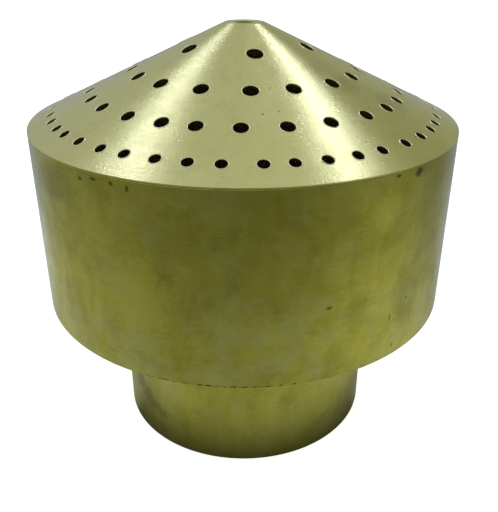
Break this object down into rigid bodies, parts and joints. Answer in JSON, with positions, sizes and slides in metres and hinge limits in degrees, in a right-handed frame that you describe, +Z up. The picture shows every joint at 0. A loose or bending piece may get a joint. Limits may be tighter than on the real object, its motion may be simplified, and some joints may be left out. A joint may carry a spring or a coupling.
{
  "type": "fountain nozzle",
  "caption": "Brass multi-jet fountain nozzle: a drilled cone cap screwed into a wide drum on a narrower threaded inlet neck.",
  "frame": {"origin": "centre of the inlet neck's lower end face, on the nozzle's axis", "axes": "+Z up along the nozzle's axis towards the cone's tip, -Y towards the viewer, +X to the viewer's right"},
  "size_m": [0.104, 0.104, 0.104],
  "materials": {
    "cap_brass": "freshly turned brass with fine lathe marks",
    "aged_brass": "satin brass, slightly tarnished, with brushed lines round the axis",
    "plate_brass": "sawn and turned brass",
    "filler_metal": "brazed fillet, smooth and slightly matt",
    "stainless_steel": "plain stainless",
    "seal_rubber": "matt black",
    "gasket_rubber": "matt dark grey"
  },
  "bodies": {
    "casing": {"drum_shell": "aged_brass", "base_plate": "plate_brass", "drum_braze_ring": "filler_metal", "inlet_neck": "aged_brass", "neck_braze_ring": "filler_metal", "inlet_gasket": "gasket_rubber", "straightener_sleeve": "plate_brass", "straightener_vane_1": "plate_brass", "straightener_vane_2": "plate_brass", "sleeve_retaining_ring": "stainless_steel", "distributor_plate": "plate_brass", "standoff_1": "plate_brass", "standoff_2": "plate_brass", "standoff_3": "plate_brass", "screw_washer_1": "stainless_steel", "screw_washer_2": "stainless_steel", "screw_washer_3": "stainless_steel", "distributor_screw_1": "stainless_steel", "distributor_screw_2": "stainless_steel", "distributor_screw_3": "stainless_steel"},
    "cap_seal": {"cap_o_ring": "seal_rubber"},
    "cap": {"cone_cap": "cap_brass"}
  },
  "joints": [
    {"name": "cap_lift", "type": "slide", "parent": "casing", "child": "cap_seal", "axis": [0, 0, 1], "range_m": [0, 0.0123]},
    {"name": "cap_unscrew", "type": "hinge", "parent": "cap_seal", "child": "cap", "pos_m": [0, 0, 0.0754], "axis": [0, 0, 1], "range_deg": [0, 2200]}
  ],
  "couplings": [
    {"joint": "cap_lift", "follows": "cap_unscrew", "m_per_rad": 0.00031831}
  ]
}
